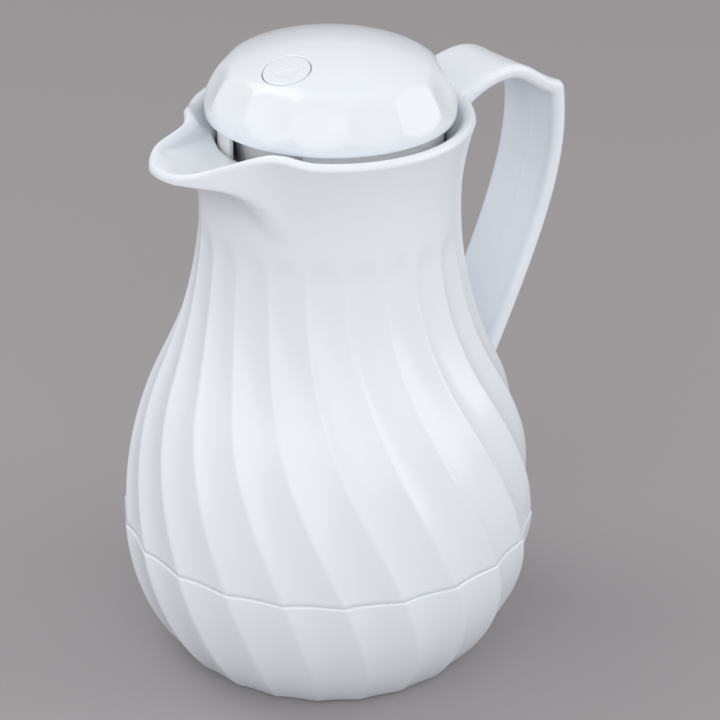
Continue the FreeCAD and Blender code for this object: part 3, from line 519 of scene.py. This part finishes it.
def strap_path():
    """Middle line of the strap: arch, saddle and grip as cubic curves, and a small bend at the corner."""
    arch = bezier((HANDLE_ROOT, *HANDLE_ARCH, HANDLE_CROWN), ARCH_STEPS)
    saddle = bezier((HANDLE_CROWN, *HANDLE_SADDLE, HANDLE_CORNER), SADDLE_STEPS)
    grip = bezier((HANDLE_CORNER, *HANDLE_GRIP, HANDLE_FOOT), GRIP_STEPS)
    before = saddle[np.linalg.norm(saddle - saddle[-1], axis=1) > HANDLE_BEND]
    after = grip[np.linalg.norm(grip - grip[0], axis=1) > HANDLE_BEND]
    bend = bezier((before[-1], HANDLE_CORNER, HANDLE_CORNER, after[0]), BEND_STEPS)
    corner = len(arch) + len(before) - 1 + (BEND_STEPS - 2) // 2
    return np.vstack((arch, before[1:], bend[1:-1], after)), corner


def strap_mitres(path):
    """Direction through the strap: square to the path's lean after a bell-shaped mean along the run."""
    run = np.diff(path, axis=0)
    lean = np.unwrap(np.arctan2(run[:, 1], run[:, 0]))
    lean_in = np.concatenate((lean[:1], lean))
    lean_out = np.concatenate((lean, lean[-1:]))
    middle = (lean_in + lean_out) / 2
    along = np.concatenate(([0.0], np.cumsum(np.linalg.norm(run, axis=1))))
    near = np.exp(-((along[:, None] - along[None, :]) / HANDLE_FAN) ** 2 / 2)
    weight = near * np.gradient(along)[None, :]
    fanned = weight @ middle / weight.sum(axis=1)
    stretch = 1 / (np.cos(fanned - middle) * np.cos((lean_in - lean_out) / 2))
    return np.stack((-np.sin(fanned), np.cos(fanned)), axis=1) * stretch[:, None]


def strap_section():
    """Rounded strip: offsets across the width and through the thickness, closer at the parting line."""
    flat = HANDLE_HALF_WIDTH - HANDLE_EDGE
    side = HANDLE_HALF_THICKNESS - HANDLE_EDGE
    face = np.sort(np.concatenate((np.linspace(-flat, flat, FACE_STEPS), PARTING_STEPS)))[::-1]
    face_through = np.full(len(face), HANDLE_HALF_THICKNESS)
    bend = np.linspace(0.0, np.pi / 2, EDGE_STEPS)[1:-1]
    turn = np.concatenate((bend, [np.pi / 2], np.pi / 2 + bend))
    edge = -flat - HANDLE_EDGE * np.sin(turn)
    edge_through = np.sign(np.cos(turn)) * side + HANDLE_EDGE * np.cos(turn)
    across = np.concatenate((face, edge, face[::-1], -edge))
    return across, np.concatenate((face_through, edge_through, -face_through, -edge_through))


def strap_depths(across, through, place):
    """Depth of the strap's faces: the outer dished at the saddle, the inner hollow with a parting line."""
    bowl = np.maximum(1 - (across / (HANDLE_HALF_WIDTH - HANDLE_EDGE)) ** 2, 0.0)
    dish = SADDLE_DISH * bowl * np.exp(-((place + SADDLE_DISH_BEFORE) / SADDLE_DISH_RUN) ** 2)
    on_grip = smooth_step((place - PARTING_START) / PARTING_RUN)
    line = PARTING_LINE * np.exp(-(across / PARTING_WIDTH) ** 2) * on_grip
    off_corner = smooth_step(np.abs(place) / HOLLOW_RUN)
    hollow = HANDLE_HOLLOW * np.minimum(bowl * HOLLOW_STEEPNESS, 1.0) * off_corner
    fillet = HANDLE_FILLET * np.exp(-(place / FILLET_RUN) ** 2)
    return through - np.where(through > 0, dish, line - hollow + fillet)


def handle(material):
    """Strap's section carried along its middle line, with its ends kept within the pot's wall."""
    path, corner = strap_path()
    mitre = strap_mitres(path)
    across, through = strap_section()
    depth = strap_depths(across, through, np.arange(len(path))[:, None] - corner)
    x = path[:, :1] + mitre[:, :1] * depth
    z = path[:, 1:] + mitre[:, 1:] * depth
    y = np.broadcast_to(across, x.shape)
    in_collar = collar_radius(z) - COLLAR_WALL / 2
    in_body = flask_radius(z) - WALL_OFFSET * HANDLE_SINK
    push = np.maximum(np.where(z > NECK_TOP, in_collar, in_body) / np.hypot(x, y), 1.0)
    points = np.stack((x * push, y * push, z), axis=-1)[:, ::-1]
    return capped_mesh("pot_handle", points, material)


def base_side(column, share):
    """Fluted outside of the base, rounded in at the foot, with flutes that grow as the root of the height."""
    round_rows = BASE_EDGE * (1 - np.cos(np.linspace(BASE_EDGE_START, np.pi / 2, BASE_EDGE_ROWS)))
    z = np.concatenate((round_rows, np.linspace(BASE_EDGE, SEAM, BASE_ROWS)[1:]))[:, None]
    depth = FOOT_FLUTE_DEPTH + (FLUTE_DEPTH - FOOT_FLUTE_DEPTH) * np.sqrt(z / SEAM)
    below = np.maximum(1 - z / BASE_EDGE, 0.0)
    bend = BASE_EDGE * (1 - np.sqrt(np.maximum(1 - below ** 2, 0.0)))
    return base_radius(z) - depth * flute_form(share) - bend, column + swirl(z), z


def base_section():
    """Points from the seam over the rib, down the hollow, through the fill hole and out to the foot."""
    return np.array((
        (LAP_OUTSIDE, SEAM),
        (LAP_OUTSIDE, LAP_TOP - LAP_CHAMFER),
        (LAP_OUTSIDE - LAP_CHAMFER, LAP_TOP),
        (LAP_INSIDE + LAP_CHAMFER, LAP_TOP),
        (LAP_INSIDE, LAP_TOP - LAP_CHAMFER),
        (LAP_INSIDE, LAP_FOOT),
        *BASE_HOLLOW,
        *((reach, BASE_FLOOR) for reach in BASE_FLOOR_REACHES),
        (FILL_HOLE, BASE_FLOOR),
        (FILL_HOLE, FOOT_RECESS),
        *FOOT_STEP,
    ))


def base_cup(material):
    """Base: up the fluted outside, over the seam's edge and its rib, down the inside and out to the foot."""
    column, share = ring_columns()
    wide = np.ones_like(column)
    side, side_angle, side_z = base_side(column, share)
    reach, section_z = np.hsplit(base_section(), 2)
    foot = base_radius(0.0) - FOOT_FLUTE_DEPTH * flute_form(share) - BASE_EDGE
    radius = np.vstack((side, reach * wide, foot))
    height = np.vstack((side_z * wide, section_z * wide, 0.0 * wide))
    turn = np.vstack((side_angle, column + swirl(section_z), column + swirl(0.0)))
    return ring_mesh("pot_base", radius, turn, height, material)


def dome_profile(inset, count):
    """Half outline from the side to near the crown: a shoulder arc and a crown arc, set in by an inset."""
    centre = DOME_TOP - DOME_CROWN_ARC
    shoulder_r = DOME_RADIUS - DOME_SHOULDER_ARC
    shoulder_z = centre + math.sqrt((DOME_CROWN_ARC - DOME_SHOULDER_ARC) ** 2 - shoulder_r ** 2)
    lean = math.atan2(shoulder_r, shoulder_z - centre)
    bend = np.linspace(np.pi / 2, lean, count)
    crown = np.linspace(lean, 0.0, count)[1:-1]
    r = np.concatenate((shoulder_r + (DOME_SHOULDER_ARC - inset) * np.sin(bend),
                        (DOME_CROWN_ARC - inset) * np.sin(crown)))
    z = np.concatenate((shoulder_z + (DOME_SHOULDER_ARC - inset) * np.cos(bend),
                        centre + (DOME_CROWN_ARC - inset) * np.cos(crown)))
    return r, z, np.concatenate((bend, crown)), shoulder_z


def grip_depth(angle, r, z, tilt, shoulder_z):
    """Depth of the finger grips: how far a point sinks along its normal to leave its slanted cylinder."""
    pitch = 2 * np.pi / GRIPS
    local = (angle - GRIP_PHASE + pitch / 2) % pitch - pitch / 2
    middle = DOME_RIM + GRIP_RISE
    shoulder = math.sqrt(DOME_SHOULDER_ARC ** 2 - (middle - shoulder_z) ** 2)
    axis_r = DOME_RADIUS - DOME_SHOULDER_ARC + shoulder + (GRIP_ARC - GRIP_DEPTH) * math.cos(GRIP_TILT)
    axis_z = middle + (GRIP_ARC - GRIP_DEPTH) * math.sin(GRIP_TILT)
    out = (axis_r - r * np.cos(local)) * math.cos(GRIP_TILT) + (axis_z - z) * math.sin(GRIP_TILT)
    side = r * np.sin(local)
    distance = np.hypot(out, side)
    towards = np.sin(tilt) * np.cos(local) * math.cos(GRIP_TILT) + np.cos(tilt) * math.sin(GRIP_TILT)
    facing = towards * out / distance - np.sin(tilt) * np.sin(local) * side / distance
    sink = (GRIP_ARC - distance) / np.maximum(facing, GRIP_LEAST_FACING)
    return smooth_max(sink, np.zeros_like(sink), GRIP_SOFTNESS)


def dome_edge():
    """Points of the dome's lower edge, from its inside to its outside, with both corners rounded."""
    inner = DOME_RADIUS - DOME_WALL
    return np.array((
        (inner, DOME_RIM + DOME_EDGE),
        (inner + DOME_EDGE_INSIDE * DOME_EDGE, DOME_RIM + DOME_EDGE_INSIDE * DOME_EDGE),
        (inner + DOME_EDGE, DOME_RIM),
        (DOME_RADIUS - DOME_EDGE, DOME_RIM),
        (DOME_RADIUS - DOME_EDGE_OUTSIDE * DOME_EDGE, DOME_RIM + DOME_EDGE_OUTSIDE * DOME_EDGE),
        (DOME_RADIUS, DOME_RIM + DOME_EDGE),
    ))


def marker_axis():
    """Crown's centre and the direction from it through the marker."""
    lean = math.asin(MARKER_REACH / DOME_CROWN_ARC)
    out = math.sin(lean)
    run = Vector((out * math.cos(MARKER_ANGLE), out * math.sin(MARKER_ANGLE), math.cos(lean)))
    return Vector((0.0, 0.0, DOME_TOP - DOME_CROWN_ARC)), run


def along_marker(r, z, angle):
    """Rings about the marker's axis, as points in the pot's frame."""
    centre, run = marker_axis()
    turn = np.array(run.to_track_quat("Z", "X").to_matrix())
    r, z, angle = np.broadcast_arrays(r, z, angle)
    local = np.stack((r * np.cos(angle), r * np.sin(angle), z), axis=-1)
    return local @ turn.T + np.array(centre)


def ring_angles(count):
    """Even angles round a ring, as one row."""
    return np.linspace(0.0, 2 * np.pi, count, endpoint=False)[None, :]


def recess_cutter():
    """Round cutter for the marker's recess, with a rounded mouth. It goes once the recess is made."""
    bore = MARKER_RADIUS + MARKER_FIT
    surface = math.sqrt(DOME_CROWN_ARC ** 2 - bore ** 2)
    floor = surface - (MARKER_THICKNESS + MARKER_SEAT_GAP)
    r = np.concatenate(([bore], bore + np.array(MOUTH_STEPS_OUT)))[:, None]
    z = np.concatenate(([floor], surface + np.array(MOUTH_STEPS_UP)))[:, None]
    points = along_marker(r, z, ring_angles(RECESS_COLUMNS))
    return capped_mesh("marker_cutter", points, bpy.data.materials.new("cutter"))


def cut_recess(dome, material):
    """Marker's recess cut from the dome's mesh, with the steep edges kept sharp."""
    cutter = recess_cutter()
    cut = dome.modifiers.new("recess", "BOOLEAN")
    cut.object = cutter
    cut.operation = "DIFFERENCE"
    cut.solver = "EXACT"
    graph = bpy.context.evaluated_depsgraph_get()
    mesh = bpy.data.meshes.new_from_object(dome.evaluated_get(graph))
    dome.modifiers.clear()
    dome.data = mesh
    bpy.data.objects.remove(cutter)
    mesh.materials.clear()
    mesh.materials.append(material)
    mesh.set_sharp_from_angle(angle=DOME_SHARP)


def lid_dome(material):
    """Cover of the lid: a hollow dome with finger grips, a rounded lower edge and the marker's recess."""
    columns = GRIPS * STEPS_PER_GRIP
    angle = (np.arange(columns) * 2 * np.pi / columns)[None, :]
    r, z, tilt, shoulder_z = dome_profile(0.0, DOME_ROWS)
    r, z, tilt = r[:, None], z[:, None], tilt[:, None]
    started = smooth_step((z - DOME_RIM - GRIP_FOOT) / GRIP_FOOT_FADE)
    sink = grip_depth(angle, r, z, tilt, shoulder_z) * started
    inner_r, inner_z, _, _ = dome_profile(DOME_WALL, DOME_INSIDE_ROWS)
    edge = dome_edge()
    wide = np.ones_like(angle)
    section_r = np.concatenate((inner_r[::-1], edge[:, 0]))[:, None]
    section_z = np.concatenate((inner_z[::-1], edge[:, 1]))[:, None]
    radius = np.vstack((section_r * wide, r - sink * np.sin(tilt)))
    height = np.vstack((section_z * wide, z - sink * np.cos(tilt)))
    points = np.stack((radius * np.cos(angle), radius * np.sin(angle), height), axis=-1)
    dome = domed_mesh("lid_cover", points, (0, 0, DOME_TOP - DOME_WALL), (0, 0, DOME_TOP), material)
    cut_recess(dome, material)
    return dome


def marker_rib(r, angle):
    """Height of the fine rib across the marker, as a share: a soft-edged bar along one direction."""
    _, run = marker_axis()
    turn = run.to_track_quat("Z", "X").to_matrix()
    along = turn.inverted() @ Vector((math.cos(RIB_ANGLE), math.sin(RIB_ANGLE), 0.0))
    bearing = math.atan2(along.y, along.x)
    run_along = r * np.cos(angle - bearing)
    run_across = r * np.sin(angle - bearing)
    ends = smooth_step((RIB_HALF_LENGTH - np.abs(run_along)) / RIB_END_FADE)
    return np.exp(-(run_across / RIB_HALF_WIDTH) ** 4) * ends


def marker(material):
    """Push-in disc: a crowned top with a rounded edge and a fine rib across it, on a plain underside."""
    angle = ring_angles(MARKER_COLUMNS)
    crown = DOME_CROWN_ARC - MARKER_SUNK
    flat = np.linspace(MARKER_POLE, 1.0, MARKER_ROWS) * (MARKER_RADIUS - MARKER_EDGE)
    bend = np.linspace(0.0, np.pi / 2, MARKER_EDGE_ROWS)[1:]
    under = math.sqrt((DOME_CROWN_ARC - MARKER_THICKNESS) ** 2 - MARKER_RADIUS ** 2)
    edge = MARKER_RADIUS - MARKER_EDGE + MARKER_EDGE * np.sin(bend)
    r = np.concatenate((flat, edge, [MARKER_RADIUS, MARKER_RADIUS * MARKER_UNDERSIDE]))[:, None]
    top = np.sqrt(crown ** 2 - flat ** 2)
    z = np.concatenate((top, top[-1] - MARKER_EDGE * (1 - np.cos(bend)), [under, under]))[:, None]
    rib = marker_rib(r, angle)
    rib[MARKER_ROWS:] = 0.0
    points = along_marker(r, z + RIB_HEIGHT * rib, angle)
    centre, run = marker_axis()
    first = np.array(centre + run * (crown + RIB_HEIGHT))
    last = np.array(centre + run * under)
    return domed_mesh("content_disc", points[:, ::-1], first, last, material)


def grain_group():
    """Fine moulded grain: cloudy tone, a slow change of gloss and the height of an almost smooth skin."""
    group = bpy.data.node_groups.new("moulded_skin", "ShaderNodeTree")
    group.interface.new_socket("Tone", in_out="INPUT", socket_type="NodeSocketColor")
    group.interface.new_socket("Shade", in_out="INPUT", socket_type="NodeSocketColor")
    group.interface.new_socket("Gloss", in_out="INPUT", socket_type="NodeSocketFloat")
    group.interface.new_socket("Gloss Spread", in_out="INPUT", socket_type="NodeSocketFloat")
    group.interface.new_socket("Grain Scale", in_out="INPUT", socket_type="NodeSocketFloat")
    group.interface.new_socket("Color", in_out="OUTPUT", socket_type="NodeSocketColor")
    group.interface.new_socket("Roughness", in_out="OUTPUT", socket_type="NodeSocketFloat")
    group.interface.new_socket("Height", in_out="OUTPUT", socket_type="NodeSocketFloat")
    nodes, links = group.nodes, group.links
    inputs = nodes.new("NodeGroupInput")
    outputs = nodes.new("NodeGroupOutput")
    place = nodes.new("ShaderNodeTexCoord")
    cloud = nodes.new("ShaderNodeTexNoise")
    cloud.inputs["Scale"].default_value = CLOUD_SCALE
    cloud.inputs["Detail"].default_value = CLOUD_DETAIL
    fine = nodes.new("ShaderNodeTexNoise")
    fine.inputs["Detail"].default_value = FINE_DETAIL
    mix = nodes.new("ShaderNodeMix")
    mix.data_type = "RGBA"
    gloss = nodes.new("ShaderNodeMath")
    gloss.operation = "MULTIPLY_ADD"
    links.new(place.outputs["Object"], cloud.inputs["Vector"])
    links.new(place.outputs["Object"], fine.inputs["Vector"])
    links.new(inputs.outputs["Grain Scale"], fine.inputs["Scale"])
    links.new(cloud.outputs["Fac"], mix.inputs["Factor"])
    links.new(inputs.outputs["Tone"], mix.inputs["A"])
    links.new(inputs.outputs["Shade"], mix.inputs["B"])
    links.new(cloud.outputs["Fac"], gloss.inputs[0])
    links.new(inputs.outputs["Gloss Spread"], gloss.inputs[1])
    links.new(inputs.outputs["Gloss"], gloss.inputs[2])
    links.new(mix.outputs["Result"], outputs.inputs["Color"])
    links.new(gloss.outputs["Value"], outputs.inputs["Roughness"])
    links.new(fine.outputs["Fac"], outputs.inputs["Height"])
    return group


def moulded(name, tone, shade, gloss, spread, grain, bump):
    """Moulded plastic, rubber or foam: the skin group feeds colour, roughness and a faint bump."""
    material = bpy.data.materials.new(name)
    material.use_nodes = True
    nodes, links = material.node_tree.nodes, material.node_tree.links
    shader = nodes["Principled BSDF"]
    group = nodes.new("ShaderNodeGroup")
    group.node_tree = skin
    group.inputs["Tone"].default_value = (*tone, 1.0)
    group.inputs["Shade"].default_value = (*shade, 1.0)
    group.inputs["Gloss"].default_value = gloss
    group.inputs["Gloss Spread"].default_value = spread
    group.inputs["Grain Scale"].default_value = grain
    height = nodes.new("ShaderNodeBump")
    height.inputs["Strength"].default_value = bump
    height.inputs["Distance"].default_value = GRAIN_HEIGHT
    links.new(group.outputs["Color"], shader.inputs["Base Color"])
    links.new(group.outputs["Roughness"], shader.inputs["Roughness"])
    links.new(group.outputs["Height"], height.inputs["Height"])
    links.new(height.outputs["Normal"], shader.inputs["Normal"])
    return material


def stage_grey():
    """Matt grey of the floor and the backdrop."""
    material = bpy.data.materials.new("floor")
    material.use_nodes = True
    shader = material.node_tree.nodes["Principled BSDF"]
    shader.inputs["Base Color"].default_value = (*STAGE_GREY, 1.0)
    shader.inputs["Roughness"].default_value = STAGE_ROUGHNESS
    return material


def dress(node, material):
    """Finish on a CAD node that stays as it is."""
    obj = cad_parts[node]
    obj.data.materials.clear()
    obj.data.materials.append(material)


def place_piece(obj, body, slot, *nodes):
    """The piece rides on a body and stands for the nodes named, which are hidden. The slot is not used."""
    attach(obj, body)
    if nodes:
        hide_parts(*nodes)


def camera():
    """The photograph's camera: turned about the target, rolled, and moved sideways to frame the pot."""
    rise, turn = CAMERA_ELEVATION, CAMERA_AZIMUTH
    toward = Vector((-math.sin(turn) * math.cos(rise), -math.cos(turn) * math.cos(rise), math.sin(rise)))
    right = Vector((math.cos(turn), -math.sin(turn), 0.0))
    up = toward.cross(right)
    across = right * math.cos(CAMERA_ROLL) - up * math.sin(CAMERA_ROLL)
    above = right * math.sin(CAMERA_ROLL) + up * math.cos(CAMERA_ROLL)
    scale = CAMERA_DISTANCE / FOCAL_PX
    aside = (FRAME_PX / 2 - TARGET_PX[0]) * scale
    lower = (TARGET_PX[1] - FRAME_PX / 2) * scale
    data = bpy.data.cameras.new("camera")
    data.sensor_width = SENSOR_WIDTH
    data.lens = SENSOR_WIDTH * FOCAL_PX / FRAME_PX
    data.clip_start = CAMERA_NEAR
    obj = bpy.data.objects.new("camera", data)
    turned = Matrix((across, above, toward)).transposed()
    spot = CAMERA_TARGET + toward * CAMERA_DISTANCE + across * aside + above * lower
    obj.matrix_world = Matrix.Translation(spot) @ turned.to_4x4()
    bpy.context.scene.collection.objects.link(obj)
    bpy.context.scene.camera = obj


def soft_lamp(name, spot, size, power):
    """Square studio lamp that faces the pot."""
    data = bpy.data.lights.new(name, "AREA")
    data.size = size
    data.energy = power
    obj = bpy.data.objects.new(name, data)
    obj.location = spot
    obj.rotation_euler = (Vector(spot) - CAMERA_TARGET).to_track_quat("Z", "Y").to_euler()
    bpy.context.scene.collection.objects.link(obj)


def floor_sheet():
    """Sheet that runs level away from the camera, then rises on a quarter round behind the pot."""
    side = np.linspace(-STAGE_HALF_WIDTH, STAGE_HALF_WIDTH, STAGE_COLUMNS)[None, :]
    sweep = np.linspace(STAGE_CURVE_START, np.pi / 2, STAGE_CURVE_ROWS)
    level = np.linspace(STAGE_NEAR, STAGE_FAR, STAGE_ROWS)
    away = np.concatenate((level, STAGE_FAR + STAGE_CURVE * np.sin(sweep)))[:, None]
    lift = np.concatenate((np.zeros(STAGE_ROWS), STAGE_CURVE - STAGE_CURVE * np.cos(sweep)))[:, None]
    x = side * math.cos(CAMERA_AZIMUTH) + away * math.sin(CAMERA_AZIMUTH)
    y = -side * math.sin(CAMERA_AZIMUTH) + away * math.cos(CAMERA_AZIMUTH)
    points = np.stack((x, y, np.broadcast_to(lift, x.shape)), axis=-1)
    faces = grid_faces(*x.shape, close_columns=False)
    return put_mesh("floor", points.reshape(-1, 3).tolist(), faces.tolist(), stage_grey())


def studio():
    """Grey floor and backdrop, soft lamps and an even white sky."""
    scene = bpy.context.scene
    scene.view_settings.view_transform = "Standard"
    floor = floor_sheet()
    world = bpy.data.worlds.new("studio")
    world.use_nodes = True
    sky = world.node_tree.nodes["Background"]
    sky.inputs["Color"].default_value = (1.0, 1.0, 1.0, 1.0)
    sky.inputs["Strength"].default_value = SKY_STRENGTH
    scene.world = world
    for lamp in LAMPS:
        soft_lamp(*lamp)


skin = grain_group()
shell_white = moulded("shell_white", tone=(0.845, 0.88, 0.93), shade=(0.815, 0.85, 0.9),
                      gloss=0.2, spread=0.1, grain=900.0, bump=0.12)
lid_white = moulded("lid_white", tone=(0.835, 0.87, 0.918), shade=(0.815, 0.85, 0.898),
                    gloss=0.14, spread=0.08, grain=900.0, bump=0.08)
# The stopper's white is paler than the shell's: painted light, brightened to make up for the shade in the gap
# under the lid.
stopper_white = moulded("stopper_white", tone=(0.9, 0.905, 0.92), shade=(0.88, 0.885, 0.9),
                        gloss=0.35, spread=0.12, grain=1200.0, bump=0.2)
liner_white = moulded("liner_white", tone=(0.74, 0.75, 0.77), shade=(0.7, 0.71, 0.73),
                      gloss=0.38, spread=0.12, grain=1200.0, bump=0.2)
plug_white = moulded("plug_white", tone=(0.72, 0.74, 0.77), shade=(0.69, 0.71, 0.74),
                     gloss=0.4, spread=0.1, grain=1200.0, bump=0.2)
silicone = moulded("silicone", tone=(0.62, 0.6, 0.58), shade=(0.56, 0.54, 0.52),
                   gloss=0.55, spread=0.12, grain=1500.0, bump=0.3)
foam = moulded("foam", tone=(0.82, 0.74, 0.5), shade=(0.74, 0.65, 0.42),
               gloss=0.85, spread=0.1, grain=500.0, bump=1.0)

place_piece(outer_shell(shell_white), "pot", "shell_white", "outer_shell")
place_piece(handle(shell_white), "pot", "shell_white")
place_piece(base_cup(shell_white), "pot", "shell_white", "base_cup")
place_piece(lid_dome(lid_white), "lid", "lid_white", "lid_dome")
place_piece(marker(lid_white), "marker", "lid_white", "content_marker")
dress("lid_stopper", stopper_white)
dress("stopper_gasket", silicone)
dress("inner_liner", liner_white)
dress("mouth_seal", silicone)
dress("fill_plug", plug_white)
dress("insulation_foam", foam)
dress("lid_foam", foam)
camera()
studio()
